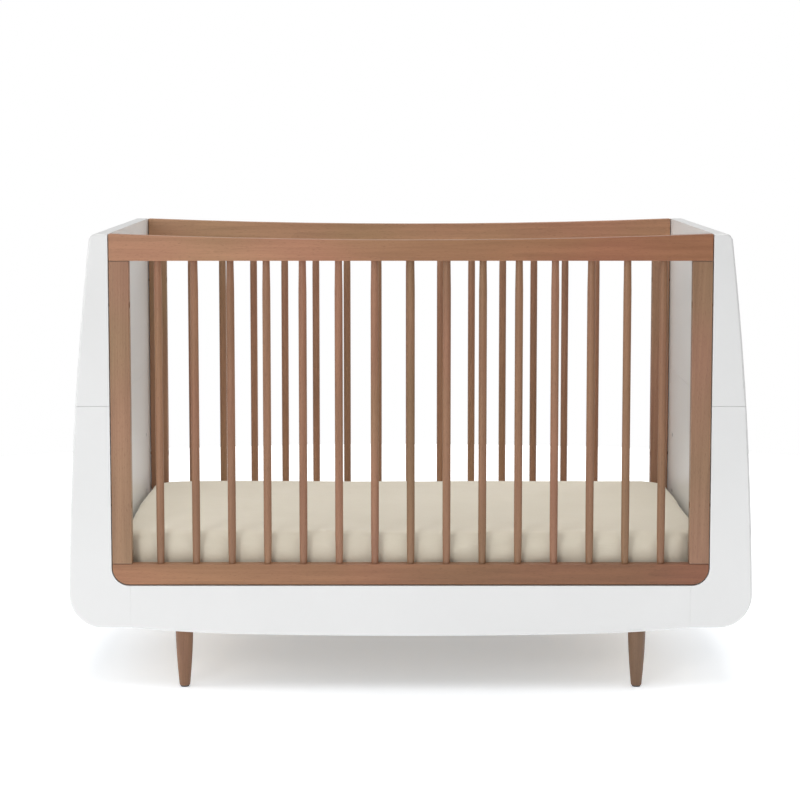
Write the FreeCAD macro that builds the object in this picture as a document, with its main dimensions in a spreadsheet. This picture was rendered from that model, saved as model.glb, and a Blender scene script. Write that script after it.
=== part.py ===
"""Cot bed: two hollow white ends, two spindled side frames, aprons, legs, a lifting base and a mattress.

Frame: X along the cot, Y from the front (-Y) to the back, Z up, origin on the floor under the middle.
Millimetres. Every size is a cell of the sheet "Sizes"; what follows from them is in the VarSet "Derived".
"""

import FreeCAD, Part
import os

import Sketcher

Vector = FreeCAD.Vector
Rotation = FreeCAD.Rotation
Placement = FreeCAD.Placement

doc = FreeCAD.newDocument("cot_bed")

# ---------------------------------------------------------------------------
# Driving sizes
# ---------------------------------------------------------------------------
SIZES = (
    ("overall_height", 940, "floor to the top of the ends"),
    ("overall_depth", 750, "front face to back face"),
    ("clear_length", 1220, "between the inner walls of the two ends"),
    ("floor_gap", 134, "floor to the underside of the ends"),
    ("end_foot_reach", 88, "inner wall to the outside of the end, low down"),
    ("end_top_reach", 38, "inner wall to the outside of the end, at the top"),
    ("end_bow", 9, "bulge of the end's outer side over its chord"),
    ("end_foot_radius", 68, "large lower corner of the end"),
    ("end_top_radius", 14, "small upper corner of the end"),
    ("end_edge_round", 5, "rounding of the white outer edges"),
    ("inner_edge_round", 1.2, "rounding of the white edges round the side frame"),
    ("joint_edge_round", 0.6, "rounding of the edges where an end's foot meets the apron"),
    ("split_height", 591, "floor to the joint between an end's two halves"),
    ("split_gap", 0.5, "shadow gap at that joint, kept by the joining pins' collars"),
    ("stile_thick", 28, "front and back stiles of an end, and the aprons"),
    ("wall_thick", 12, "inner wall of an end"),
    ("skin_thick", 9, "outer wall of an end"),
    ("cap_thick", 18, "top cap of an end"),
    ("foot_land", 1.5, "straight stretch between the corner under the side frame and the apron"),
    ("apron_height", 88, "apron's height at its ends"),
    ("belly_radius", 15500, "middle arc of the apron's lower edge"),
    ("belly_flat", 356, "half the length of that arc"),
    ("belly_end_radius", 2934, "arcs beside it"),
    ("surround_gap", 2.5, "gap under the side frame"),
    ("side_gap", 1.6, "gap at each end of the side frame"),
    ("frame_thick", 25, "thickness of the side frame's rails and posts"),
    ("frame_corner_radius", 34, "lower corners of the side frame"),
    ("frame_edge_round", 1.5, "rounding of the brown edges"),
    ("top_rail_height", 54, "top rail at its ends"),
    ("top_rail_dip", 12, "hollow of the top rail's upper edge"),
    ("post_width", 40, "post of the side frame"),
    ("bottom_rail_height", 42, "bottom rail of the side frame"),
    ("spindle_count", 15, "spindles in a side frame"),
    ("end_gap_less", 7, "how much narrower the gap beside a post is than the others"),
    ("spindle_diameter", 16.4, "spindle in the middle"),
    ("spindle_neck", 14.6, "spindle where it meets a rail"),
    ("spindle_taper", 60, "length over which it thins to the neck"),
    ("tenon_diameter", 10, "spindle tenon"),
    ("tenon_length", 15, "spindle tenon"),
    ("fit_gap", 0.1, "clearance between a pin, dowel or tenon and its hole, on the radius"),
    ("dowel_diameter", 8, "wooden dowel"),
    ("dowel_length", 40, "wooden dowel"),
    ("dowel_spread", 11, "dowel's distance from the middle of its joint"),
    ("pin_diameter", 10, "steel pin that joins an end's halves"),
    ("pin_length", 60, "steel pin that joins an end's halves"),
    ("pin_collar_diameter", 16, "collar round the pin, as thick as the shadow gap"),
    ("bolt_low_height", 387, "lower side-frame bolt above the floor"),
    ("bolt_top_drop", 144, "upper side-frame bolt below the top of the ends"),
    ("bolt_diameter", 6, "side-frame bolt"),
    ("bolt_head_diameter", 11, "side-frame bolt's head"),
    ("bolt_head_height", 6, "side-frame bolt's head"),
    ("bolt_bore", 6.6, "clearance hole for the bolt"),
    ("counterbore_diameter", 15, "recess for the bolt's head"),
    ("counterbore_depth", 8, "recess for the bolt's head"),
    ("insert_diameter", 11, "threaded insert outside"),
    ("insert_length", 14, "threaded insert in a stile"),
    ("hex_socket", 5, "hexagon key size in a bolt's head"),
    ("hex_depth", 3.5, "depth of the hexagon in a bolt's head"),
    ("leg_inset", 142, "leg's centre to the end's inner wall"),
    ("leg_gap", 3, "leg to its bracket's flange"),
    ("leg_top_diameter", 38, "leg at the top"),
    ("leg_foot_diameter", 22, "leg at the floor"),
    ("leg_bow", 1.6, "bulge of the leg's side over its chord"),
    ("glide_diameter", 18, "glide under the leg"),
    ("glide_thick", 3, "glide under the leg"),
    ("bearer_width", 110, "leg bearer along the cot"),
    ("bearer_thick", 22, "leg bearer"),
    ("bearer_height", 150, "floor to the bearer's underside"),
    ("bracket_thick", 3, "sheet steel of brackets and joint plates"),
    ("bracket_length", 100, "leg bracket along the cot"),
    ("bracket_margin", 12, "leg bracket beyond the leg, inwards"),
    ("bracket_upstand", 20, "leg bracket's flange down the apron"),
    ("bracket_corner", 8, "leg bracket's inner corners"),
    ("bracket_screw_inset", 10, "leg bracket's screws from its edges"),
    ("hanger_bolt_diameter", 8, "bolt between a leg and its bracket"),
    ("hanger_bolt_length", 58, "bolt between a leg and its bracket"),
    ("hanger_bolt_in_leg", 40, "length of that bolt in the leg"),
    ("screw_diameter", 4, "wood screw"),
    ("screw_length", 15, "wood screw"),
    ("screw_head_diameter", 7.5, "wood screw's head"),
    ("screw_head_height", 1.6, "wood screw's head above the steel"),
    ("screw_head_crown", 4, "flat crown of a wood screw's head"),
    ("screw_point_diameter", 0.8, "end of a wood screw's point"),
    ("joint_plate_gap", 2, "steel plate over the joint of apron and end, to the end's inner wall"),
    ("joint_plate_height", 28, "that plate"),
    ("joint_plate_raise", 8, "underside of the end to that plate"),
    ("joint_screw_inset", 10, "that plate's screws from its ends"),
    ("joint_screw_spread", 7, "that plate's screws above and below its middle"),
    ("base_end_gap", 10, "mattress base to an end's inner wall"),
    ("base_side_gap", 3, "mattress base to the stiles, aprons and side frames"),
    ("base_rail_thick", 22, "rails of the mattress base"),
    ("base_rail_height", 38, "rails of the mattress base"),
    ("slat_thick", 9, "slat"),
    ("slat_width", 60, "slat"),
    ("slat_count", 14, "slats"),
    ("slat_edge_round", 2, "rounding of a slat's long edges"),
    ("base_top_height", 223, "floor to the top of the slats, lowest position"),
    ("base_step", 130, "distance between the base's three positions"),
    ("hanger_inset", 74, "hanger bracket's middle to the long side of the base"),
    ("hanger_width", 40, "hanger bracket"),
    ("hanger_height", 22, "hanger bracket"),
    ("hanger_base", 190, "floor to the underside of the hanger's lip"),
    ("hanger_screw_spread", 12, "hanger bracket's screws from its middle"),
    ("hanger_wall_gap", 0.8, "hanger's lip to the end's inner wall"),
    ("support_diameter", 8, "support bolt"),
    ("support_overhang", 4, "support bolt's end behind the end's inner wall"),
    ("support_head_diameter", 14, "support bolt's head"),
    ("support_head_height", 6, "support bolt's head"),
    ("mattress_end_gap", 10, "covered mattress to an end's inner wall"),
    ("mattress_side_gap", 10, "covered mattress to a side frame"),
    ("mattress_thick", 100, "mattress"),
    ("mattress_corner", 70, "mattress's upright corners"),
    ("mattress_edge", 20, "mattress's upper and lower edges"),
    ("sheet_thick", 2, "fitted sheet"),
    ("sheet_hem", 60, "how far the fitted sheet runs in under the mattress"),
)

sizes = doc.addObject("Spreadsheet::Sheet", "Sizes")
for row, (alias, number, meaning) in enumerate(SIZES, start=1):
    sizes.set(f"A{row}", meaning)
    sizes.set(f"B{row}", str(number))
    sizes.setAlias(f"B{row}", alias)
doc.recompute()

# ---------------------------------------------------------------------------
# Sizes that follow from the driving ones
# ---------------------------------------------------------------------------
derived = doc.addObject("App::VarSet", "Derived")


def derive(name, formula):
    """Adds a number to the VarSet that the sheet's cells and earlier numbers drive."""
    derived.addProperty("App::PropertyFloat", name, "Derived")
    derived.setExpression(name, formula)
    doc.recompute()


def value(name):
    """A driving or derived size as a plain number."""
    if name in derived.PropertiesList:
        return float(getattr(derived, name))
    return float(sizes.get(name))


derive("half_depth", "Sizes.overall_depth / 2")
derive("wall_x", "Sizes.clear_length / 2")
derive("surround_radius", "Sizes.frame_corner_radius + Sizes.surround_gap")
derive("seam_x", "wall_x - surround_radius - Sizes.foot_land")
derive("apron_top", "Sizes.floor_gap + Sizes.apron_height")
derive("upper_base", "Sizes.split_height + Sizes.split_gap / 2")
derive("lower_top", "Sizes.split_height - Sizes.split_gap / 2")
derive("cap_base", "Sizes.overall_height - Sizes.cap_thick")
derive("panel_front", "-half_depth + Sizes.stile_thick")
derive("panel_depth", "Sizes.overall_depth - 2 * Sizes.stile_thick")

# The end's outer side is one arc; both corners are arcs tangent to it.
derive("foot_cz", "Sizes.floor_gap + Sizes.end_foot_radius")
derive("top_cz", "Sizes.overall_height - Sizes.end_top_radius")
derive("side_rise", "top_cz - foot_cz")
derive("side_run", "Sizes.end_foot_reach - Sizes.end_top_reach")
derive("side_chord", "sqrt(side_rise ^ 2 + side_run ^ 2)")
derive("side_radius", "side_chord ^ 2 / (8 * Sizes.end_bow) + Sizes.end_bow / 2")
derive("side_cx", "wall_x + (Sizes.end_foot_reach + Sizes.end_top_reach) / 2"
       " - (side_radius - Sizes.end_bow) * side_rise / side_chord")
derive("side_cz", "(foot_cz + top_cz) / 2 - (side_radius - Sizes.end_bow) * side_run / side_chord")
derive("foot_cx", "side_cx + sqrt((side_radius - Sizes.end_foot_radius) ^ 2 - (foot_cz - side_cz) ^ 2)")
derive("foot_share", "side_radius / (side_radius - Sizes.end_foot_radius)")
derive("foot_tx", "side_cx + (foot_cx - side_cx) * foot_share")
derive("foot_tz", "side_cz + (foot_cz - side_cz) * foot_share")
derive("foot_in_share", "(side_radius - Sizes.skin_thick) / (side_radius - Sizes.end_foot_radius)")
derive("foot_in_tx", "side_cx + (foot_cx - side_cx) * foot_in_share")
derive("foot_in_tz", "side_cz + (foot_cz - side_cz) * foot_in_share")
derive("foot_in_radius", "Sizes.end_foot_radius - Sizes.skin_thick")
derive("side_in_radius", "side_radius - Sizes.skin_thick")
derive("top_cx", "side_cx + sqrt((side_radius - Sizes.end_top_radius) ^ 2 - (top_cz - side_cz) ^ 2)")
derive("top_share", "side_radius / (side_radius - Sizes.end_top_radius)")
derive("top_tx", "side_cx + (top_cx - side_cx) * top_share")
derive("top_tz", "side_cz + (top_cz - side_cz) * top_share")
derive("lid_base", "lower_top - Sizes.wall_thick")
for tag, level in (("lower", "lower_top"), ("upper", "upper_base"), ("cap", "cap_base"), ("lid", "lid_base")):
    derive(tag + "_out_x", f"side_cx + sqrt(side_radius ^ 2 - ({level} - side_cz) ^ 2)")
    derive(tag + "_in_x", f"side_cx + sqrt(side_in_radius ^ 2 - ({level} - side_cz) ^ 2)")

# The apron's belly: a middle arc with a tangent arc at each side, so its ends land on the end's foot.
derive("belly_join", "Sizes.belly_radius - sqrt(Sizes.belly_radius ^ 2 - Sizes.belly_flat ^ 2)")
derive("belly_ratio", "Sizes.belly_end_radius / Sizes.belly_radius")
derive("belly_cx", "Sizes.belly_flat * (1 - belly_ratio)")
derive("belly_cz", "belly_join + (Sizes.belly_radius - belly_join) * belly_ratio")
derive("belly_rise", "belly_cz - sqrt(Sizes.belly_end_radius ^ 2 - (seam_x - belly_cx) ^ 2)")
derive("belly_bottom", "Sizes.floor_gap - belly_rise")
derive("belly_join_z", "belly_bottom + belly_join")

# Side frame
derive("frame_half", "wall_x - Sizes.side_gap")
derive("frame_bottom", "apron_top + Sizes.surround_gap")
derive("bottom_rail_top", "frame_bottom + Sizes.bottom_rail_height")
derive("top_rail_base", "Sizes.overall_height - Sizes.top_rail_height")
derive("dip_radius", "(frame_half ^ 2 + Sizes.top_rail_dip ^ 2) / (2 * Sizes.top_rail_dip)")
derive("post_inner", "frame_half - Sizes.post_width")
derive("post_height", "top_rail_base - bottom_rail_top")
derive("spindle_gap", "(2 * post_inner + 2 * Sizes.end_gap_less"
       " - Sizes.spindle_count * Sizes.spindle_diameter) / (Sizes.spindle_count + 1)")
derive("spindle_pitch", "spindle_gap + Sizes.spindle_diameter")
derive("spindle_reach", "spindle_pitch * (Sizes.spindle_count - 1) / 2")
derive("frame_mid_y", "half_depth - Sizes.frame_thick / 2")
derive("hole_radius", "Sizes.dowel_diameter / 2 + Sizes.fit_gap")
derive("stile_mid_y", "half_depth - Sizes.stile_thick / 2")
derive("pin_x", "wall_x + (upper_out_x - wall_x) / 2")
derive("bolt_high_height", "Sizes.overall_height - Sizes.bolt_top_drop")
derive("joint_plate_length", "2 * (wall_x - Sizes.joint_plate_gap - seam_x)")

# Legs, bearers and base
derive("bearer_half", "half_depth - Sizes.stile_thick")
derive("leg_x", "wall_x - Sizes.leg_inset")
derive("leg_y", "bearer_half - Sizes.bracket_thick - Sizes.leg_gap - Sizes.leg_top_diameter / 2")
derive("leg_top", "Sizes.bearer_height - Sizes.bracket_thick")
derive("bracket_reach", "bearer_half - leg_y + Sizes.leg_top_diameter / 2 + Sizes.bracket_margin")
derive("base_half_x", "wall_x - Sizes.base_end_gap")
derive("base_half_y", "half_depth - max(Sizes.frame_thick; Sizes.stile_thick) - Sizes.base_side_gap")
derive("base_rail_top", "Sizes.base_top_height - Sizes.slat_thick")
derive("base_rail_base", "base_rail_top - Sizes.base_rail_height")
derive("slat_pitch", "(2 * base_half_x - Sizes.slat_width) / (Sizes.slat_count - 1)")
derive("hanger_y", "base_half_y - Sizes.hanger_inset")
derive("support_z", "Sizes.hanger_base - Sizes.support_head_diameter / 2")
derive("sheet_half_x", "wall_x - Sizes.mattress_end_gap")
derive("sheet_half_y", "half_depth - Sizes.frame_thick - Sizes.mattress_side_gap")
derive("mattress_half_x", "sheet_half_x - Sizes.sheet_thick")
derive("mattress_half_y", "sheet_half_y - Sizes.sheet_thick")
derive("mattress_base", "Sizes.base_top_height + Sizes.sheet_thick")
derive("mattress_top", "mattress_base + Sizes.mattress_thick")


# ---------------------------------------------------------------------------
# How pieces are made
# ---------------------------------------------------------------------------
PLANES = {"XY": "XY_Plane", "XZ": "XZ_Plane", "YZ": "YZ_Plane"}
AIM = {
    "+Z": Rotation(),
    "-Z": Rotation(Vector(1, 0, 0), 180),
    "+X": Rotation(Vector(0, 1, 0), 90),
    "-X": Rotation(Vector(0, 1, 0), -90),
    "+Y": Rotation(Vector(1, 0, 0), -90),
    "-Y": Rotation(Vector(1, 0, 0), 90),
}
nodes = {}


def number(formula):
    """What a formula of sheet cells and derived sizes comes to."""
    found = derived.evalExpression(str(formula))
    return float(getattr(found, "Value", found))


def keep(label, thing):
    """Makes an object a node: its label names the file it is written to."""
    thing.Label = label
    nodes[label] = thing
    return thing


def new_body(label):
    body = doc.addObject("PartDesign::Body", label)
    body.Label = label
    return body


def attach(sketch, body, plane, offset):
    """Puts a sketch on an origin plane, moved along that plane's axis by offset."""
    support = [f for f in body.Origin.OriginFeatures if f.Role == PLANES[plane]][0]
    sketch.AttachmentSupport = (support, [""])
    sketch.MapMode = "FlatFace"
    sign = "-1 * " if plane == "XZ" else ""
    sketch.setExpression("AttachmentOffset.Base.z", f"{sign}({offset})")


def arc_between(start, end, radius, left):
    """The shorter arc from start to end; left says that its middle lies left of the way from start to end."""
    chord = end - start
    middle = (start + end) / 2
    side = Vector(-chord.y, chord.x, 0).normalize()
    if not left:
        side = side * -1
    height = radius - max(radius ** 2 - (chord.Length / 2) ** 2, 0) ** 0.5
    return Part.Arc(start, middle + side * height, end)


def draw(sketch, outline):
    """Draws a closed outline: (x, y) starts a line to the next point, (x, y, radius, side) an arc."""
    points = [Vector(number(p[0]), number(p[1]), 0) for p in outline]
    for i, corner in enumerate(outline):
        start, end = points[i], points[(i + 1) % len(points)]
        if len(corner) == 2:
            sketch.addGeometry(Part.LineSegment(start, end), False)
        else:
            sketch.addGeometry(arc_between(start, end, number(corner[2]), corner[3] == "left"), False)
    first_point = []
    for i, corner in enumerate(outline):
        forward = True
        if len(corner) > 2:
            forward = sketch.getPoint(i, 1).isEqual(points[i], 1e-4)
        first_point.append((1, 2) if forward else (2, 1))
    for i, corner in enumerate(outline):
        following = (i + 1) % len(outline)
        sketch.addConstraint(Sketcher.Constraint(
            "Coincident", i, first_point[i][1], following, first_point[following][0]))
        for kind, formula in (("DistanceX", corner[0]), ("DistanceY", corner[1])):
            constraint = Sketcher.Constraint(kind, -1, 1, i, first_point[i][0], number(formula))
            index = sketch.addConstraint(constraint)
            sketch.setExpression(f"Constraints[{index}]", str(formula))
        if len(corner) > 2:
            index = sketch.addConstraint(Sketcher.Constraint("Radius", i, number(corner[2])))
            sketch.setExpression(f"Constraints[{index}]", str(corner[2]))


def pad(body, plane, outline, start, thickness, name="outline"):
    """Extrudes an outline from start, by thickness, along the plane's axis."""
    sketch = body.newObject("Sketcher::SketchObject", f"{body.Name}_{name}")
    attach(sketch, body, plane, start)
    draw(sketch, outline)
    feature = body.newObject("PartDesign::Pad", f"{body.Name}_pad")
    feature.Profile = sketch
    feature.setExpression("Length", str(thickness))
    feature.Reversed = plane == "XZ"
    doc.recompute()
    return feature


def rectangle(x0, y0, x1, y1):
    return [(x0, y0), (x1, y0), (x1, y1), (x0, y1)]


def board(label, low, high, plane="XY"):
    """A rectangular board between two corners."""
    body = new_body(label)
    axes = {"XY": (0, 1, 2), "XZ": (0, 2, 1), "YZ": (1, 2, 0)}[plane]
    a, b, c = axes
    pad(body, plane, rectangle(low[a], low[b], high[a], high[b]), low[c], f"({high[c]}) - ({low[c]})")
    return body


def round_over(body, radius, wanted):
    """Rounds the edges of the body that wanted() picks."""
    tip = body.Tip
    edges = [f"Edge{i}" for i, e in enumerate(tip.Shape.Edges, start=1) if wanted(e)]
    fillet = body.newObject("PartDesign::Fillet", f"{body.Name}_round")
    fillet.Base = (tip, edges)
    fillet.setExpression("Radius", str(radius))
    doc.recompute()
    return fillet


def drill(body, radius, depth, mouth, aim):
    """Bores a blind or through hole from mouth, in the direction aim."""
    volume = body.Shape.Volume
    hole = body.newObject("PartDesign::SubtractiveCylinder", f"{body.Name}_hole")
    hole.setExpression("Radius", str(radius))
    hole.setExpression("Height", str(depth))
    hole.Placement = Placement(Vector(), AIM[aim])
    for axis, formula in zip("xyz", mouth):
        hole.setExpression(f"Placement.Base.{axis}", str(formula))
    doc.recompute()
    if body.Shape.Volume >= volume - 0.01:
        raise ValueError(f"a hole in {body.Label} cuts nothing")
    return hole


def repeat(body, feature, length, count, axis="X_Axis"):
    """Repeats a feature along the body's axis over the given length."""
    pattern = body.newObject("PartDesign::LinearPattern", f"{body.Name}_row")
    pattern.Originals = [feature]
    line = [f for f in body.Origin.OriginFeatures if f.Role == axis][0]
    pattern.Direction = (line, [""])
    pattern.setExpression("Length", str(length))
    pattern.setExpression("Occurrences", str(count))
    body.Tip = pattern
    doc.recompute()
    return pattern


def mirror(label, source, across):
    """A mirror image as a node of its own. across is X (left and right) or Y (front and back)."""
    image = doc.addObject("Part::Mirroring", label)
    image.Source = source
    image.Base = Vector()
    image.Normal = Vector(1, 0, 0) if across == "X" else Vector(0, 1, 0)
    doc.recompute()
    return keep(label, image)


def group(label, shapes):
    """Several separate solids as one node."""
    feature = doc.addObject("Part::Feature", label)
    feature.Shape = Part.makeCompound(shapes)
    return keep(label, feature)


def at(shape, x, y, z, aim="+Z"):
    """A copy of a shape made along +Z, turned to aim and moved."""
    copy = shape.copy()
    copy.Placement = Placement(Vector(x, y, z), AIM[aim])
    return copy


def along(edge, axis):
    """True for a straight edge along X, Y or Z."""
    if edge.Curve.TypeId != "Part::GeomLine":
        return False
    direction = edge.Curve.Direction
    return abs(abs(getattr(direction, axis)) - 1) < 1e-6


def on_level(edge, axis, level):
    """True for an edge that lies in the plane axis = level."""
    return all(abs(getattr(v.Point, axis) - level) < 1e-4 for v in edge.Vertexes)


def s(name):
    """A driving size, written for an expression."""
    return "Sizes." + name


def d(name):
    """A derived size, written for an expression."""
    return "Derived." + name


# ---------------------------------------------------------------------------
# Ends: stiles at the front and back, an inner and an outer wall, and a top cap
# ---------------------------------------------------------------------------
def outer_edge(edge):
    """Edges of a stile's front face that form the cot's outline: the side arc, the corners, the underside."""
    front = on_level(edge, "y", -value("half_depth"))
    middle = edge.valueAt((edge.FirstParameter + edge.LastParameter) / 2)
    beyond_wall = middle.x > value("wall_x") + 1
    underside = abs(middle.z - value("floor_gap")) < 0.01
    joint = along(edge, "x") and abs(middle.z - value("split_height")) < 1
    return front and (beyond_wall or underside) and not joint


def inner_edge(edge):
    """Edges of a stile's front face beside and below the side frame."""
    front = on_level(edge, "y", -value("half_depth"))
    middle = edge.valueAt((edge.FirstParameter + edge.LastParameter) / 2)
    return front and middle.x < value("wall_x") + 0.01 and middle.z > value("apron_top") - 0.01


def seam_edge(edge):
    """The upright edge of the front face where an end's foot and the apron meet."""
    middle = edge.valueAt((edge.FirstParameter + edge.LastParameter) / 2)
    front = on_level(edge, "y", -value("half_depth"))
    return front and along(edge, "z") and abs(abs(middle.x) - value("seam_x")) < 0.01


lower_stile = new_body("end_right_lower_front_stile")
pad(lower_stile, "XZ", [
    (d("wall_x"), d("lower_top")),
    (d("wall_x"), f"{d('apron_top')} + {d('surround_radius')}", d("surround_radius"), "left"),
    (f"{d('wall_x')} - {d('surround_radius')}", d("apron_top")),
    (d("seam_x"), d("apron_top")),
    (d("seam_x"), s("floor_gap")),
    (d("foot_cx"), s("floor_gap"), s("end_foot_radius"), "right"),
    (d("foot_tx"), d("foot_tz"), d("side_radius"), "right"),
    (d("lower_out_x"), d("lower_top")),
], f"-{d('half_depth')}", s("stile_thick"))
round_over(lower_stile, s("end_edge_round"), outer_edge)
round_over(lower_stile, s("inner_edge_round"), inner_edge)
round_over(lower_stile, s("joint_edge_round"), seam_edge)
drill(lower_stile, f"{s('pin_diameter')} / 2 + {s('fit_gap')}", f"{s('pin_length')} / 2",
      (d("pin_x"), f"-{d('stile_mid_y')}", d("lower_top")), "-Z")
drill(lower_stile, f"{s('insert_diameter')} / 2", s("insert_length"),
      (d("wall_x"), f"-{d('frame_mid_y')}", s("bolt_low_height")), "+X")
DOWEL_LEVELS = ("apron_dowel_low", "apron_dowel_high")
derive("apron_dowel_low", "Sizes.floor_gap + Sizes.apron_height / 4")
derive("apron_dowel_high", "Sizes.floor_gap + Sizes.apron_height * 3 / 4")
for level in DOWEL_LEVELS:
    drill(lower_stile, d("hole_radius"), f"{s('dowel_length')} / 2",
          (d("seam_x"), f"-{d('stile_mid_y')}", d(level)), "+X")
keep("end_right_lower_front_stile", lower_stile)

upper_stile = new_body("end_right_upper_front_stile")
pad(upper_stile, "XZ", [
    (d("wall_x"), d("upper_base")),
    (d("upper_out_x"), d("upper_base"), d("side_radius"), "right"),
    (d("top_tx"), d("top_tz"), s("end_top_radius"), "right"),
    (d("top_cx"), s("overall_height")),
    (d("wall_x"), s("overall_height")),
], f"-{d('half_depth')}", s("stile_thick"))
round_over(upper_stile, s("end_edge_round"), outer_edge)
round_over(upper_stile, s("inner_edge_round"), inner_edge)
drill(upper_stile, f"{s('pin_diameter')} / 2 + {s('fit_gap')}", f"{s('pin_length')} / 2",
      (d("pin_x"), f"-{d('stile_mid_y')}", d("upper_base")), "+Z")
drill(upper_stile, f"{s('insert_diameter')} / 2", s("insert_length"),
      (d("wall_x"), f"-{d('frame_mid_y')}", d("bolt_high_height")), "+X")
keep("end_right_upper_front_stile", upper_stile)

upper_wall = board("end_right_upper_inner_wall",
                   (d("wall_x"), d("panel_front"), d("upper_base")),
                   (f"{d('wall_x')} + {s('wall_thick')}", f"-{d('panel_front')}", d("cap_base")), "YZ")
keep("end_right_upper_inner_wall", upper_wall)

upper_skin = new_body("end_right_upper_outer_wall")
pad(upper_skin, "XZ", [
    (d("upper_in_x"), d("upper_base")),
    (d("upper_out_x"), d("upper_base"), d("side_radius"), "right"),
    (d("cap_out_x"), d("cap_base")),
    (d("cap_in_x"), d("cap_base"), d("side_in_radius"), "left"),
], d("panel_front"), d("panel_depth"))
keep("end_right_upper_outer_wall", upper_skin)

top_cap = new_body("end_right_top_cap")
pad(top_cap, "XZ", [
    (d("wall_x"), d("cap_base")),
    (d("cap_out_x"), d("cap_base"), d("side_radius"), "right"),
    (d("top_tx"), d("top_tz"), s("end_top_radius"), "right"),
    (d("top_cx"), s("overall_height")),
    (d("wall_x"), s("overall_height")),
], d("panel_front"), d("panel_depth"))
keep("end_right_top_cap", top_cap)

lower_skin = new_body("end_right_lower_outer_wall")
pad(lower_skin, "XZ", [
    (d("wall_x"), s("floor_gap")),
    (d("foot_cx"), s("floor_gap"), s("end_foot_radius"), "right"),
    (d("foot_tx"), d("foot_tz"), d("side_radius"), "right"),
    (d("lower_out_x"), d("lower_top")),
    (d("lower_in_x"), d("lower_top"), d("side_in_radius"), "left"),
    (d("foot_in_tx"), d("foot_in_tz"), d("foot_in_radius"), "left"),
    (d("foot_cx"), f"{s('floor_gap')} + {s('skin_thick')}"),
    (d("wall_x"), f"{s('floor_gap')} + {s('skin_thick')}"),
], d("panel_front"), d("panel_depth"))
keep("end_right_lower_outer_wall", lower_skin)

lower_wall = board("end_right_lower_inner_wall",
                   (d("wall_x"), d("panel_front"), f"{s('floor_gap')} + {s('skin_thick')}"),
                   (f"{d('wall_x')} + {s('wall_thick')}", f"-{d('panel_front')}", d("lower_top")), "YZ")
HEIGHT_STEPS = range(3)
for step in HEIGHT_STEPS:
    for sign in ("-", ""):
        drill(lower_wall, f"{s('insert_diameter')} / 2", s("wall_thick"),
              (d("wall_x"), f"{sign}{d('hanger_y')}", f"{d('support_z')} + {step} * {s('base_step')}"), "+X")
keep("end_right_lower_inner_wall", lower_wall)

lower_lid = new_body("end_right_lower_top_board")
pad(lower_lid, "XZ", [
    (f"{d('wall_x')} + {s('wall_thick')}", d("lid_base")),
    (d("lid_in_x"), d("lid_base"), d("side_in_radius"), "right"),
    (d("lower_in_x"), d("lower_top")),
    (f"{d('wall_x')} + {s('wall_thick')}", d("lower_top")),
], d("panel_front"), d("panel_depth"))
keep("end_right_lower_top_board", lower_lid)

mirror("end_right_lower_back_stile", lower_stile, "Y")
mirror("end_right_upper_back_stile", upper_stile, "Y")
for piece in ("lower_front_stile", "upper_front_stile", "lower_back_stile", "upper_back_stile",
              "upper_inner_wall", "upper_outer_wall", "top_cap", "lower_outer_wall", "lower_inner_wall",
              "lower_top_board"):
    mirror(f"end_left_{piece}", nodes[f"end_right_{piece}"], "X")

# ---------------------------------------------------------------------------
# Aprons: the white rails below the side frames
# ---------------------------------------------------------------------------
def apron_lower_edge(edge):
    front = on_level(edge, "y", -value("half_depth"))
    middle = edge.valueAt((edge.FirstParameter + edge.LastParameter) / 2)
    return front and middle.z < value("floor_gap") and not along(edge, "z")


def apron_upper_edge(edge):
    front = on_level(edge, "y", -value("half_depth"))
    return front and along(edge, "x") and on_level(edge, "z", value("apron_top"))


apron = new_body("front_apron")
pad(apron, "XZ", [
    (f"-{d('seam_x')}", s("floor_gap"), s("belly_end_radius"), "right"),
    (f"-{s('belly_flat')}", d("belly_join_z"), s("belly_radius"), "right"),
    (s("belly_flat"), d("belly_join_z"), s("belly_end_radius"), "right"),
    (d("seam_x"), s("floor_gap")),
    (d("seam_x"), d("apron_top")),
    (f"-{d('seam_x')}", d("apron_top")),
], f"-{d('half_depth')}", s("stile_thick"))
round_over(apron, s("end_edge_round"), apron_lower_edge)
round_over(apron, s("inner_edge_round"), apron_upper_edge)
round_over(apron, s("joint_edge_round"), seam_edge)
for level in DOWEL_LEVELS:
    for sign, aim in (("-", "+X"), ("", "-X")):
        drill(apron, d("hole_radius"), f"{s('dowel_length')} / 2",
              (f"{sign}{d('seam_x')}", f"-{d('stile_mid_y')}", d(level)), aim)
keep("front_apron", apron)
mirror("back_apron", apron, "Y")

# ---------------------------------------------------------------------------
# Side frames: top and bottom rail, two posts, and a row of turned spindles
# ---------------------------------------------------------------------------
MORTISE = f"{s('tenon_diameter')} / 2 + {s('fit_gap')}"
FRAME_FRONT = f"-{d('half_depth')}"
FRAME_MIDDLE = f"-{d('frame_mid_y')}"


def spindle_holes(body, level, aim):
    """A row of mortises for the spindles' tenons."""
    hole = drill(body, MORTISE, s("tenon_length"), (f"-{d('spindle_reach')}", FRAME_MIDDLE, level), aim)
    repeat(body, hole, f"2 * {d('spindle_reach')}", s("spindle_count"))


def post_dowel_holes(body, level, aim):
    """Two dowel holes over each post."""
    for side in ("-", ""):
        for shift in ("-", "+"):
            middle = f"{side}({d('frame_half')} - {s('post_width')} / 2) {shift} {s('dowel_spread')}"
            drill(body, d("hole_radius"), f"{s('dowel_length')} / 2", (middle, FRAME_MIDDLE, level), aim)


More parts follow.
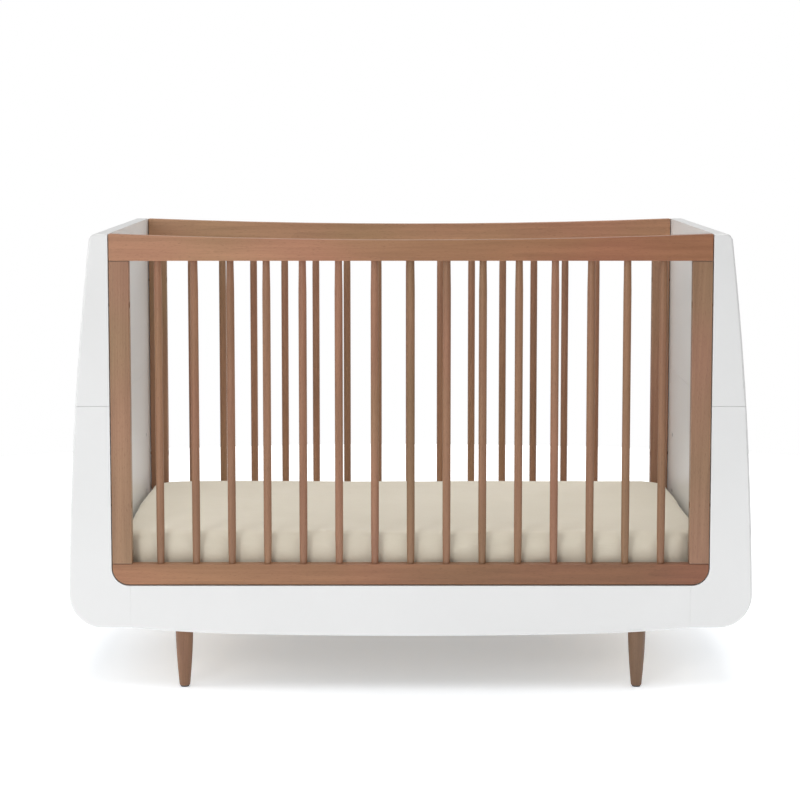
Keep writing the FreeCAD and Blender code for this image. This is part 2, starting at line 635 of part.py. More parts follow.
top_rail = new_body("front_top_rail")
pad(top_rail, "XZ", [
    (f"-{d('frame_half')}", d("top_rail_base")),
    (d("frame_half"), d("top_rail_base")),
    (d("frame_half"), s("overall_height"), d("dip_radius"), "left"),
    (f"-{d('frame_half')}", s("overall_height")),
], FRAME_FRONT, s("frame_thick"))
round_over(top_rail, s("frame_edge_round"), lambda e: True)
spindle_holes(top_rail, d("top_rail_base"), "+Z")
post_dowel_holes(top_rail, d("top_rail_base"), "+Z")
keep("front_top_rail", top_rail)

bottom_rail = new_body("front_bottom_rail")
CORNER = s("frame_corner_radius")
pad(bottom_rail, "XZ", [
    (f"-{d('frame_half')} + {CORNER}", d("frame_bottom")),
    (f"{d('frame_half')} - {CORNER}", d("frame_bottom"), CORNER, "right"),
    (d("frame_half"), f"{d('frame_bottom')} + {CORNER}"),
    (d("frame_half"), d("bottom_rail_top")),
    (f"-{d('frame_half')}", d("bottom_rail_top")),
    (f"-{d('frame_half')}", f"{d('frame_bottom')} + {CORNER}", CORNER, "right"),
], FRAME_FRONT, s("frame_thick"))
round_over(bottom_rail, s("frame_edge_round"), lambda e: not along(e, "y"))
spindle_holes(bottom_rail, d("bottom_rail_top"), "-Z")
post_dowel_holes(bottom_rail, d("bottom_rail_top"), "-Z")
keep("front_bottom_rail", bottom_rail)

post = board("front_right_post",
             (d("post_inner"), FRAME_FRONT, d("bottom_rail_top")),
             (d("frame_half"), f"-{d('half_depth')} + {s('frame_thick')}", d("top_rail_base")))
round_over(post, s("frame_edge_round"), lambda e: True)
for level in (s("bolt_low_height"), d("bolt_high_height")):
    drill(post, f"{s('counterbore_diameter')} / 2", s("counterbore_depth"),
          (d("post_inner"), FRAME_MIDDLE, level), "+X")
    drill(post, f"{s('bolt_bore')} / 2", s("post_width"),
          (d("post_inner"), FRAME_MIDDLE, level), "+X")
for level, aim in ((d("bottom_rail_top"), "+Z"), (d("top_rail_base"), "-Z")):
    for shift in ("-", "+"):
        middle = f"{d('frame_half')} - {s('post_width')} / 2 {shift} {s('dowel_spread')}"
        drill(post, d("hole_radius"), f"{s('dowel_length')} / 2", (middle, FRAME_MIDDLE, level), aim)
keep("front_right_post", post)
mirror("front_left_post", post, "X")

# One spindle, turned about its own axis: tenon, slim neck, thicker middle, neck, tenon.
spindle = new_body("spindle")
profile = spindle.newObject("Sketcher::SketchObject", "spindle_profile")
attach(profile, spindle, "XZ", f"-{d('frame_mid_y')}")
AXIS_X = f"-{d('spindle_reach')}"
NECK = f"{AXIS_X} + {s('spindle_neck')} / 2"
WAIST = f"{AXIS_X} + {s('spindle_diameter')} / 2"
TENON = f"{AXIS_X} + {s('tenon_diameter')} / 2"
draw(profile, [
    (AXIS_X, f"{d('bottom_rail_top')} - {s('tenon_length')}"),
    (TENON, f"{d('bottom_rail_top')} - {s('tenon_length')}"),
    (TENON, d("bottom_rail_top")),
    (NECK, d("bottom_rail_top")),
    (WAIST, f"{d('bottom_rail_top')} + {s('spindle_taper')}"),
    (WAIST, f"{d('top_rail_base')} - {s('spindle_taper')}"),
    (NECK, d("top_rail_base")),
    (TENON, d("top_rail_base")),
    (TENON, f"{d('top_rail_base')} + {s('tenon_length')}"),
    (AXIS_X, f"{d('top_rail_base')} + {s('tenon_length')}"),
])
turned = spindle.newObject("PartDesign::Revolution", "spindle_turning")
turned.Profile = profile
turned.ReferenceAxis = (profile, [f"Edge{profile.GeometryCount}"])
turned.Angle = 360
doc.recompute()
pitch = value("spindle_pitch")
row = [at(spindle.Shape, i * pitch, 0, 0) for i in range(int(value("spindle_count")))]
group("front_spindles", row)

for piece in ("top_rail", "bottom_rail", "left_post", "right_post", "spindles"):
    mirror(f"back_{piece}", nodes[f"front_{piece}"], "Y")

# ---------------------------------------------------------------------------
# Legs with their bearers, brackets, bolts and glides
# ---------------------------------------------------------------------------
right_bearer = board("right_leg_bearer",
                     (f"{d('leg_x')} - {s('bearer_width')} / 2", f"-{d('bearer_half')}", s("bearer_height")),
                     (f"{d('leg_x')} + {s('bearer_width')} / 2", d("bearer_half"),
                      f"{s('bearer_height')} + {s('bearer_thick')}"))
for side in ("-", ""):
    drill(right_bearer, f"{s('hanger_bolt_diameter')} / 2 + {s('fit_gap')}", s("bearer_thick"),
          (d("leg_x"), f"{side}{d('leg_y')}", s("bearer_height")), "+Z")
keep("right_leg_bearer", right_bearer)
mirror("left_leg_bearer", right_bearer, "X")

leg = new_body("front_right_leg")
leg_profile = leg.newObject("Sketcher::SketchObject", "leg_profile")
attach(leg_profile, leg, "XZ", f"-{d('leg_y')}")
derive("leg_chord", "sqrt((leg_top - Sizes.glide_thick) ^ 2"
       " + ((Sizes.leg_top_diameter - Sizes.leg_foot_diameter) / 2) ^ 2)")
derive("leg_side_radius", "leg_chord ^ 2 / (8 * Sizes.leg_bow) + Sizes.leg_bow / 2")
draw(leg_profile, [
    (d("leg_x"), s("glide_thick")),
    (f"{d('leg_x')} + {s('leg_foot_diameter')} / 2", s("glide_thick"), d("leg_side_radius"), "right"),
    (f"{d('leg_x')} + {s('leg_top_diameter')} / 2", d("leg_top")),
    (d("leg_x"), d("leg_top")),
])
leg_turning = leg.newObject("PartDesign::Revolution", "leg_turning")
leg_turning.Profile = leg_profile
leg_turning.ReferenceAxis = (leg_profile, [f"Edge{leg_profile.GeometryCount}"])
leg_turning.Angle = 360
doc.recompute()
round_over(leg, s("frame_edge_round"), lambda e: e.Curve.TypeId == "Part::GeomCircle" and e.isClosed())
drill(leg, f"{s('hanger_bolt_diameter')} / 2 + {s('fit_gap')}", s("hanger_bolt_in_leg"),
      (d("leg_x"), f"-{d('leg_y')}", d("leg_top")), "-Z")
keep("front_right_leg", leg)
mirror("front_left_leg", leg, "X")
mirror("back_right_leg", leg, "Y")
mirror("back_left_leg", nodes["front_left_leg"], "Y")

# Leg bracket: a plate under the bearer with a flange down the apron's inner face.
bracket = new_body("leg_bracket")
PLATE_Y = f"-{d('bearer_half')}"
pad(bracket, "XY", rectangle(
    f"{d('leg_x')} - {s('bracket_length')} / 2", PLATE_Y,
    f"{d('leg_x')} + {s('bracket_length')} / 2", f"-{d('bearer_half')} + {d('bracket_reach')}",
), d("leg_top"), s("bracket_thick"))
round_over(bracket, s("bracket_corner"),
           lambda e: along(e, "z") and e.Vertexes[0].Point.y > -value("bearer_half") + 1)
pad(bracket, "XZ", rectangle(
    f"{d('leg_x')} - {s('bracket_length')} / 2", f"{s('bearer_height')} - {s('bracket_upstand')}",
    f"{d('leg_x')} + {s('bracket_length')} / 2", s("bearer_height"),
), PLATE_Y, s("bracket_thick"), "flange")
drill(bracket, f"{s('hanger_bolt_diameter')} / 2 + {s('fit_gap')}", s("bracket_thick"),
      (d("leg_x"), f"-{d('leg_y')}", d("leg_top")), "+Z")

HANGER_BOLT = Part.makeCylinder(value("hanger_bolt_diameter") / 2, value("hanger_bolt_length"))
GLIDE = Part.makeCylinder(value("glide_diameter") / 2, value("glide_thick"))


def mirrored_four(shape):
    """A shape made at the front right, in all four corners of the cot."""
    back = shape.mirror(Vector(), Vector(0, 1, 0))
    pair = [shape.copy(), back]
    return pair + [item.mirror(Vector(), Vector(1, 0, 0)) for item in pair]


def in_corners(shape, x, y, z, aim="+Z"):
    return mirrored_four(at(shape, x, -y, z, aim))


group("leg_brackets", mirrored_four(bracket.Shape))
group("leg_hanger_bolts", in_corners(
    HANGER_BOLT, value("leg_x"), value("leg_y"), value("leg_top") - value("hanger_bolt_in_leg")))
group("leg_glides", in_corners(GLIDE, value("leg_x"), value("leg_y"), 0))


def wood_screw():
    """A screw along +Z with the underside of its low round head at the origin and its head below."""
    height = value("screw_head_height")
    radius = value("screw_diameter") / 2
    shoulder = value("screw_length") - value("screw_diameter")
    head = Part.makeCone(value("screw_head_crown") / 2, value("screw_head_diameter") / 2, height,
                         Vector(0, 0, -height))
    shank = Part.makeCylinder(radius, shoulder)
    point = Part.makeCone(radius, value("screw_point_diameter") / 2, value("screw_diameter"),
                          Vector(0, 0, shoulder))
    return head.fuse([shank, point]).removeSplitter()


SCREW = wood_screw()
plate_edge = value("bracket_length") / 2 - value("bracket_screw_inset")
frame_screws = []
for shift in (-plate_edge, plate_edge):
    for inward in (value("bracket_screw_inset"), value("bracket_reach") - value("bracket_screw_inset")):
        frame_screws += in_corners(SCREW, value("leg_x") + shift, value("bearer_half") - inward,
                                   value("leg_top"), "+Z")
    frame_screws += in_corners(SCREW, value("leg_x") + shift,
                               value("bearer_half") - value("bracket_thick"),
                               value("leg_top") - value("bracket_upstand") / 2, "-Y")

# ---------------------------------------------------------------------------
# Fasteners between the white and the brown pieces
# ---------------------------------------------------------------------------
def centred_rod(diameter, length):
    """A cylinder along Z whose middle is at the origin."""
    return Part.makeCylinder(diameter / 2, length, Vector(0, 0, -length / 2))


PIN = centred_rod(value("pin_diameter"), value("pin_length"))
COLLAR = centred_rod(value("pin_collar_diameter"), value("split_gap"))
group("end_joining_pins", in_corners(
    PIN.fuse(COLLAR).removeSplitter(), value("pin_x"), value("stile_mid_y"), value("split_height")))

DOWEL = centred_rod(value("dowel_diameter"), value("dowel_length"))
post_middle = value("frame_half") - value("post_width") / 2
dowels = []
for level in DOWEL_LEVELS:
    dowels += in_corners(DOWEL, value("seam_x"), value("stile_mid_y"), value(level), "+X")
for level in ("bottom_rail_top", "top_rail_base"):
    for shift in (-1, 1):
        dowel_x = post_middle + shift * value("dowel_spread")
        dowels += in_corners(DOWEL, dowel_x, value("frame_mid_y"), value(level))
group("wooden_dowels", dowels)


def socket_bolt(diameter, length, head_diameter, head_height, hexagon):
    """A socket-head bolt along +Z: its head's underside at the origin, its head below."""
    shank = Part.makeCylinder(diameter / 2, length)
    head = Part.makeCylinder(head_diameter / 2, head_height, Vector(0, 0, -head_height))
    corners = [Vector(hexagon / 3 ** 0.5, 0, -head_height)]
    turn = Rotation(Vector(0, 0, 1), 60)
    while len(corners) < 7:
        corners.append(turn.multVec(corners[-1]))
    key = Part.Face(Part.makePolygon(corners)).extrude(Vector(0, 0, value("hex_depth")))
    return head.fuse(shank).removeSplitter().cut(key)


def threaded_insert(outside, inside, length):
    """A sleeve along +Z from the origin."""
    return Part.makeCylinder(outside / 2, length).cut(Part.makeCylinder(inside / 2, length))


bolt_reach = value("post_width") - value("counterbore_depth") + value("side_gap") + value("insert_length")
FRAME_BOLT = socket_bolt(value("bolt_diameter"), bolt_reach, value("bolt_head_diameter"),
                         value("bolt_head_height"), value("hex_socket"))
FRAME_INSERT = threaded_insert(value("insert_diameter"), value("bolt_diameter") + 2 * value("fit_gap"),
                               value("insert_length"))
BOLT_LEVELS = ("bolt_low_height", "bolt_high_height")
group("side_frame_bolts", [
    bolt for level in BOLT_LEVELS
    for bolt in in_corners(FRAME_BOLT, value("post_inner") + value("counterbore_depth"),
                           value("frame_mid_y"), value(level), "+X")])
group("side_frame_inserts", [
    sleeve for level in BOLT_LEVELS
    for sleeve in in_corners(FRAME_INSERT, value("wall_x"), value("frame_mid_y"), value(level), "+X")])

# Steel plates over the joints of apron and end, with four screws each.
plate_base = value("floor_gap") + value("joint_plate_raise")
plate = Part.makeBox(value("joint_plate_length"), value("bracket_thick"), value("joint_plate_height"))
plate_low = (value("seam_x") - value("joint_plate_length") / 2, -value("bearer_half"), plate_base)
group("apron_joint_plates", mirrored_four(at(plate, *plate_low)))
screw_reach = value("joint_plate_length") / 2 - value("joint_screw_inset")
screw_middle = plate_base + value("joint_plate_height") / 2
for shift in (-screw_reach, screw_reach):
    for rise in (-value("joint_screw_spread"), value("joint_screw_spread")):
        frame_screws += in_corners(SCREW, value("seam_x") + shift,
                                   value("bearer_half") - value("bracket_thick"), screw_middle + rise, "-Y")
group("frame_screws", frame_screws)

# ---------------------------------------------------------------------------
# Mattress base: a slatted frame that hangs on four support bolts and lifts to two higher positions
# ---------------------------------------------------------------------------
base_front = board("base_front_rail",
                   (f"-{d('base_half_x')}", f"-{d('base_half_y')}", d("base_rail_base")),
                   (d("base_half_x"), f"-{d('base_half_y')} + {s('base_rail_thick')}", d("base_rail_top")))
keep("base_front_rail", base_front)
mirror("base_back_rail", base_front, "Y")
base_right = board("base_right_rail",
                   (f"{d('base_half_x')} - {s('base_rail_thick')}",
                    f"-{d('base_half_y')} + {s('base_rail_thick')}", d("base_rail_base")),
                   (d("base_half_x"), f"{d('base_half_y')} - {s('base_rail_thick')}", d("base_rail_top")))
keep("base_right_rail", base_right)
mirror("base_left_rail", base_right, "X")
base_middle = board("base_middle_rail",
                    (f"-{d('base_half_x')} + {s('base_rail_thick')}", f"-{s('base_rail_thick')} / 2",
                     d("base_rail_base")),
                    (f"{d('base_half_x')} - {s('base_rail_thick')}", f"{s('base_rail_thick')} / 2",
                     d("base_rail_top")))
keep("base_middle_rail", base_middle)

slat = board("slat",
             (f"-{d('base_half_x')}", f"-{d('base_half_y')}", d("base_rail_top")),
             (f"-{d('base_half_x')} + {s('slat_width')}", d("base_half_y"), s("base_top_height")))
round_over(slat, s("slat_edge_round"), lambda e: along(e, "y") and on_level(e, "z", value("base_top_height")))
slat_pitch = value("slat_pitch")
group("base_slats", [at(slat.Shape, i * slat_pitch, 0, 0) for i in range(int(value("slat_count")))])

# Hanger bracket: an angle on the base's end rail whose lip rests on a support bolt's head.
hanger = new_body("hanger_bracket")
HANGER_FRONT = f"-{d('hanger_y')} - {s('hanger_width')} / 2"
pad(hanger, "XZ", [
    (d("base_half_x"), s("hanger_base")),
    (f"{d('wall_x')} - {s('hanger_wall_gap')}", s("hanger_base")),
    (f"{d('wall_x')} - {s('hanger_wall_gap')}", f"{s('hanger_base')} + {s('bracket_thick')}"),
    (f"{d('base_half_x')} + {s('bracket_thick')}", f"{s('hanger_base')} + {s('bracket_thick')}"),
    (f"{d('base_half_x')} + {s('bracket_thick')}", f"{s('hanger_base')} + {s('hanger_height')}"),
    (d("base_half_x"), f"{s('hanger_base')} + {s('hanger_height')}"),
], HANGER_FRONT, s("hanger_width"))
group("base_hanger_brackets", mirrored_four(hanger.Shape))
hanger_screw_level = value("hanger_base") + (value("bracket_thick") + value("hanger_height")) / 2
group("base_hanger_screws", [
    screw for shift in (-value("hanger_screw_spread"), value("hanger_screw_spread"))
    for screw in in_corners(SCREW, value("base_half_x") + value("bracket_thick"),
                            value("hanger_y") + shift, hanger_screw_level, "-X")])

SUPPORT = socket_bolt(value("support_diameter"), value("wall_thick") + value("support_overhang"),
                      value("support_head_diameter"), value("support_head_height"), value("hex_socket"))
HEIGHT_INSERT = threaded_insert(value("insert_diameter"), value("support_diameter") + 2 * value("fit_gap"),
                                value("wall_thick"))
group("base_support_bolts", in_corners(SUPPORT, value("wall_x"), value("hanger_y"), value("support_z"), "+X"))
group("base_height_inserts", [
    sleeve for step in HEIGHT_STEPS
    for sleeve in in_corners(HEIGHT_INSERT, value("wall_x"), value("hanger_y"),
                             value("support_z") + step * value("base_step"), "+X")])

# ---------------------------------------------------------------------------
# Mattress and its fitted sheet
# ---------------------------------------------------------------------------
def pillow(label, half_x, half_y, low, high, corner, edge):
    """A box with round upright corners and round upper and lower edges."""
    body = board(label, (f"-{half_x}", f"-{half_y}", low), (half_x, half_y, high))
    round_over(body, corner, lambda e: along(e, "z"))
    levels = (number(low), number(high))
    round_over(body, edge, lambda e: any(on_level(e, "z", level) for level in levels))
    return body


mattress = pillow("mattress", d("mattress_half_x"), d("mattress_half_y"),
                  d("mattress_base"), d("mattress_top"), s("mattress_corner"), s("mattress_edge"))
keep("mattress", mattress)
cover = pillow("sheet_outside", d("sheet_half_x"), d("sheet_half_y"),
               s("base_top_height"), f"{d('mattress_top')} + {s('sheet_thick')}",
               f"{s('mattress_corner')} + {s('sheet_thick')}", f"{s('mattress_edge')} + {s('sheet_thick')}")
opening = board("sheet_opening",
                (f"-{d('mattress_half_x')} + {s('sheet_hem')}", f"-{d('mattress_half_y')} + {s('sheet_hem')}",
                 f"{s('base_top_height')} - {s('sheet_thick')}"),
                (f"{d('mattress_half_x')} - {s('sheet_hem')}", f"{d('mattress_half_y')} - {s('sheet_hem')}",
                 f"{d('mattress_base')} + {s('sheet_thick')}"))
round_over(opening, s("mattress_corner"), lambda e: along(e, "z"))
sheet_inside = doc.addObject("Part::MultiFuse", "sheet_inside")
sheet_inside.Shapes = [mattress, opening]
sheet = doc.addObject("Part::Cut", "fitted_sheet")
sheet.Base = cover
sheet.Tool = sheet_inside
keep("fitted_sheet", sheet)
doc.recompute()

# ---------------------------------------------------------------------------
# Screw holes: the wood and steel that the screws pass through give way to them
# ---------------------------------------------------------------------------
SCREWED = {
    "frame_screws": (
        "leg_brackets", "right_leg_bearer", "left_leg_bearer", "apron_joint_plates", "front_apron",
        "back_apron", "end_right_lower_front_stile", "end_right_lower_back_stile",
        "end_left_lower_front_stile", "end_left_lower_back_stile"),
    "base_hanger_screws": ("base_hanger_brackets", "base_right_rail", "base_left_rail"),
}
for screws, holders in SCREWED.items():
    for holder in holders:
        before = nodes[holder]
        fitted = doc.addObject("Part::Cut", f"{holder}_drilled")
        fitted.Base = before
        fitted.Tool = nodes[screws]
        before.Label = f"{holder}_undrilled"
        keep(holder, fitted)
doc.recompute()

# ---------------------------------------------------------------------------
# Checks, and one STEP file for each node
# ---------------------------------------------------------------------------
for thing in doc.Objects:
    if "Invalid" in thing.State or "Error" in thing.State:
        raise ValueError(f"{thing.Label} failed: {thing.State}")
os.makedirs("parts", exist_ok=True)
for label, thing in nodes.items():
    shape = thing.Shape
    if shape.isNull() or not shape.isValid() or not shape.Solids:
        raise ValueError(f"{label} has no valid solid")
    shape.exportStep(os.path.join("parts", f"{label}.step"))
print(len(nodes), "nodes written")
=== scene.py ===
import math

import bmesh
import bpy
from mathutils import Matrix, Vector, noise
from mathutils.bvhtree import BVHTree


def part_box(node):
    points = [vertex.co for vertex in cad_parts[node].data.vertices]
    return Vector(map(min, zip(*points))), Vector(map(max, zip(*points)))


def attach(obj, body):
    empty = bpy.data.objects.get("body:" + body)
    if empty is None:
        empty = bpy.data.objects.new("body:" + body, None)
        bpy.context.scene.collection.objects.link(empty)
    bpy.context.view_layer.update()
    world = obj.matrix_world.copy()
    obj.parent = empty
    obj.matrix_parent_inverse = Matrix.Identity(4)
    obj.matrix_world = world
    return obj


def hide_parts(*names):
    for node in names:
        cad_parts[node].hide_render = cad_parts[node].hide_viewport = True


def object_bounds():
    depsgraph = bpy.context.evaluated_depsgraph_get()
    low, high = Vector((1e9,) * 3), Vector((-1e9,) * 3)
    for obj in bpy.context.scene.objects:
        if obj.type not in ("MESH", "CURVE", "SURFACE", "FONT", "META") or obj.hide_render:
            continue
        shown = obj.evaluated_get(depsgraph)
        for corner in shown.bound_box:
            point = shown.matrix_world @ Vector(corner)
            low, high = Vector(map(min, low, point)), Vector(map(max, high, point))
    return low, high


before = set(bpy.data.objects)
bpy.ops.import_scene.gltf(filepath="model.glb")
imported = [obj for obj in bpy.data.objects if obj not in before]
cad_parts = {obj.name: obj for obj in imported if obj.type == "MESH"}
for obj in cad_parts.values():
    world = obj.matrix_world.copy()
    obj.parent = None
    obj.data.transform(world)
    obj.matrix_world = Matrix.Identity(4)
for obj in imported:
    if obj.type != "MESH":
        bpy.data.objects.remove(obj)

cad_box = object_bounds()

# --- White ends and aprons ------------------------------------------------------------------
# Hollow ends of lacquered board, split across the middle, and the aprons that join them under
# the side frames. All of it is sprayed with satin white lacquer, rubbed down between coats.


class Link:
    """A socket in a finish's node tree. Sums on it add Math nodes to that tree."""

    def __init__(self, tree, socket):
        self.tree, self.socket = tree, socket

    def node(self, kind, settings, inputs, output=0):
        """A new node: its settings are set first, then its sockets get values or links."""
        new = self.tree.nodes.new("ShaderNode" + kind)
        for name, value in settings.items():
            if name == "stops":
                spots = new.color_ramp.elements
                while len(spots) < len(value):
                    spots.new(1.0)
                for spot, (place, colour) in zip(spots, value):
                    spot.position, spot.color = place, (*colour, 1.0)
            else:
                setattr(new, name, value)
        for key, value in inputs.items():
            if isinstance(value, Link):
                self.tree.links.new(value.socket, new.inputs[key])
            else:
                new.inputs[key].default_value = value
        return Link(self.tree, new.outputs[output])

    def math(self, operation, *values):
        return self.node("Math", {"operation": operation}, dict(enumerate(values)))

    def __add__(self, other):
        return self.math("ADD", self, other)

    def __sub__(self, other):
        return self.math("SUBTRACT", self, other)

    def __rsub__(self, other):
        return self.math("SUBTRACT", other, self)

    def __mul__(self, other):
        return self.math("MULTIPLY", self, other)

    __radd__, __rmul__ = __add__, __mul__

    def clamped(self, low, high):
        """0 at low, 1 at high, and a smooth step between them."""
        return self.node("MapRange", {"interpolation_type": "SMOOTHSTEP"},
                         {"Value": self, "From Min": low, "From Max": high})

    def scaled(self, factors):
        return self.node("VectorMath", {"operation": "MULTIPLY"}, {0: self, 1: factors})

    def noise(self, scale, detail=2.0, rough=0.5, distortion=0.0):
        return self.node("TexNoise", {}, {"Vector": self, "Scale": scale, "Detail": detail,
                                          "Roughness": rough, "Distortion": distortion})

    def mix(self, start, end, blend="MIX"):
        """Colours start and end mixed by this link's value."""
        return self.node("Mix", {"data_type": "RGBA", "blend_type": blend},
                         {0: self, 6: start, 7: end}, 2)


def new_finish(name, **constants):
    """A material, its shader with some fixed values, and a link to the piece's own place."""
    material = bpy.data.materials.new(name)
    material.use_nodes = True
    tree = material.node_tree
    tree.nodes.clear()
    surface = tree.nodes.new("ShaderNodeBsdfPrincipled")
    for key, value in constants.items():
        surface.inputs[key.replace("_", " ")].default_value = value
    out = tree.nodes.new("ShaderNodeOutputMaterial")
    tree.links.new(surface.outputs[0], out.inputs[0])
    here = Link(tree, None).node("TexCoord", {}, {}, "Object")
    return material, surface, here


def lay_on(surface, colour, roughness, height, depth, **others):
    """Links what varies over the surface. Height is in units of depth, which is in metres."""
    bump = height.node("Bump", {}, {"Height": height, "Distance": depth, "Strength": 1.0})
    for key, link in {"Base Color": colour, "Roughness": roughness, "Normal": bump,
                      **others}.items():
        link.tree.links.new(link.socket, surface.inputs[key])


def cover(material, *pieces):
    """Puts a finish on CAD pieces, in every slot they have."""
    for name in pieces:
        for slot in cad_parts[name].material_slots:
            slot.material = material


def colour(red, green, blue):
    return (red, green, blue, 1.0)


LACQUER, LACQUER_SHADE = colour(0.80, 0.80, 0.795), colour(0.77, 0.77, 0.765)
lacquer, surface, here = new_finish("white_satin_lacquer", Coat_Weight=0.15, Coat_Roughness=0.25)
cloud = here.noise(3.2, 3.0)
speckle = here.noise(240.0, 2.0)
peel = here.noise(420.0, 1.5, 0.45)
sanding = here.scaled((1.0, 1.0, 0.12)).noise(130.0, 3.0)
lay_on(
    surface,
    (cloud.clamped(0.35, 0.7) * 0.6 + speckle * 0.15).mix(LACQUER, LACQUER_SHADE),
    0.34 + cloud * 0.06 + speckle * 0.06,
    peel + sanding * 0.6 + here.noise(24.0) * 3.0,
    0.00004,
)

ends = [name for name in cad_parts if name.startswith("end_") and name != "end_joining_pins"]
cover(lacquer, "front_apron", "back_apron", *ends)

# --- Side frames ----------------------------------------------------------------------------
# Each side is a rail above and below, two posts and fifteen turned spindles, in beech stained
# mid brown and sealed with a thin satin varnish. Dowels and glue hold them together.

STAIN_LIGHT, STAIN_DARK = colour(0.385, 0.180, 0.092), colour(0.235, 0.100, 0.046)
STAIN_RED, STAIN_OLIVE = colour(0.40, 0.160, 0.110), colour(0.27, 0.168, 0.080)
PORE, PLAIN = colour(0.12, 0.055, 0.03), (1.0, 1.0, 1.0)
APRON_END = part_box("front_apron")[1][0]
SPINDLE_DIAMETER, SPINDLE_COUNT = 0.0164, 15
SPINDLE_PITCH = ((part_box("front_spindles")[1][0] * 2 - SPINDLE_DIAMETER)
                 / (SPINDLE_COUNT - 1))


def stained_wood(name, along, heart, single=None, tone_with_painted_light=(PLAIN, PLAIN), joints=()):
    """Stained beech with its grain along an axis. Heart is where the log's centre ran.
    Single gives a link that tells one turned piece from the next, from the piece's place.
    The left and right factors are what the stain is multiplied by at the left and right ends of
    the aprons, and beyond
    them: partly the piece's own tone, partly painted light, lighter where the light falls from the
    left. The joint levels are glued joints, where stain gathers and where painted shade darkens
    the joint line."""
    material, surface, here = new_finish(name, Coat_Weight=0.12, Coat_Roughness=0.3)

    def drawn_out(ratio):
        return here.scaled([1.0 / ratio if axis == along else 1.0 for axis in "xyz"])

    place = here.node("Mapping", {}, {"Vector": here, "Location": [-c for c in heart],
                                      "Rotation": (0.012, -0.017, 0.01)})
    flow = drawn_out(14).noise(9.0, 2.0)
    bent = place.node("VectorMath", {"operation": "MULTIPLY_ADD"},
                      {0: drawn_out(10).node("TexNoise", {}, {"Vector": drawn_out(10),
                                                              "Scale": 14.0, "Detail": 2.0}, 1),
                       1: (0.016, 0.016, 0.016), 2: place})
    rings = bent.node("TexWave", {"wave_type": "RINGS", "rings_direction": along.upper(),
                                  "wave_profile": "SAW"},
                      {"Vector": bent, "Scale": 62.0, "Distortion": 0.6, "Detail": 2.0,
                       "Detail Scale": 1.2})
    streaks = drawn_out(26).noise(70.0, 4.0, 0.6)
    bands = drawn_out(7).noise(26.0, 2.0, 0.5)
    fibres = drawn_out(50).noise(620.0, 2.0)
    pores = drawn_out(11).noise(1150.0, 1.0).clamped(0.6, 0.72)
    tint = here.noise(3.5, 1.0)
    depth = (rings * 0.30 + streaks.clamped(0.32, 0.68) * 0.62 + fibres * 0.25
             + bands.clamped(0.3, 0.7) * 0.36 - 0.2)
    if single:
        lot = single(here)
        tint = (tint * 0.75
                + lot.node("TexWhiteNoise", {"noise_dimensions": "1D"}, {"W": lot}) * 0.25)
        depth = depth + 0.4 * lot.node("TexWhiteNoise", {"noise_dimensions": "1D"},
                                       {"W": lot + 7.3}) - 0.2
    stain = depth.mix(STAIN_LIGHT, STAIN_DARK)
    hue = (tint * 0.6 + flow * 0.4).clamped(0.3, 0.7).mix(STAIN_RED, STAIN_OLIVE)
    stain = (flow * 0.4 + 0.16).mix(stain, hue)
    stain = (pores * 0.35).mix(stain, PORE)
    level = here.node("SeparateXYZ", {}, {0: here}, 2)
    # Painted shade at each joint level: a dark line where stain gathers in the glued joint and
    # where the groove's shade is painted in.
    for joint in joints:
        off = level.math("ABSOLUTE", level - joint)
        stain = ((1.0 - off.clamped(0.0010, 0.0026)) * 0.8).mix(stain, PORE)
    across = here.node("SeparateXYZ", {}, {0: here})
    # Painted light: the stain is multiplied from the left factors to the right factors across the
    # cot, lighter where the light falls from the left.
    tone_and_painted_light_ramp = across.clamped(-APRON_END, APRON_END).mix(colour(*tone_with_painted_light[0]), colour(*tone_with_painted_light[1]))
    stain = stain.node("Mix", {"data_type": "RGBA", "blend_type": "MULTIPLY"},
                       {0: 1.0, 6: stain, 7: tone_and_painted_light_ramp}, 2)
    lay_on(surface, stain, 0.40 + fibres * 0.12 + pores * 0.15,
           fibres * 0.5 + streaks * 0.5 - pores * 1.2, 0.00006)
    return material


def single_spindle(here):
    """A different whole number for every spindle, front and back."""
    split = here.node("SeparateXYZ", {}, {0: here})
    behind = split.node("SeparateXYZ", {}, {0: here}, 1).math(
        "GREATER_THAN", split.node("SeparateXYZ", {}, {0: here}, 1), 0.0)
    return (split * (1 / SPINDLE_PITCH)).math("ROUND", split * (1 / SPINDLE_PITCH)) + 31.0 * behind


POST_ENDS = (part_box("front_left_post")[0][2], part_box("front_left_post")[1][2])
# Painted light in each piece's tone, as factors at its left and right: lighter to the left, where
# the light falls, and darker to the right; the back rails are lightened where they stand in shade.
# Part of each pair is the piece's own tone.
TONE_AND_PAINTED_LIGHT = {
    "front_top_rail": ((1.38, 1.45, 1.50), (1.08, 0.93, 0.88)),
    "back_top_rail": ((1.36, 1.49, 1.58), (1.32, 1.45, 1.50)),
    "front_bottom_rail": ((1.10, 1.05, 0.98), (0.74, 0.62, 0.54)),
    "back_bottom_rail": ((1.02, 1.00, 0.98), (0.92, 0.88, 0.85)),
    "posts": ((1.06, 1.24, 1.32), (0.95, 1.10, 1.20)),
    "spindles": ((0.96, 1.04, 1.06), (0.90, 0.95, 0.96)),
    "legs": ((0.78, 0.81, 0.76), (0.58, 0.67, 0.66)),
}
for side, depth in (("front", -0.29), ("back", 0.44)):
    for rail, centre in (("_top_rail", (0.1, depth, 0.90)), ("_bottom_rail", (0.3, depth, 0.27))):
        cover(stained_wood(side + rail + "_grain", "x", centre, tone_with_painted_light=TONE_AND_PAINTED_LIGHT[side + rail]),
              side + rail)
    cover(stained_wood(side + "_post_grain", "z", (0.62, depth, 0.2), tone_with_painted_light=TONE_AND_PAINTED_LIGHT["posts"],
                       joints=POST_ENDS),
          side + "_left_post", side + "_right_post")
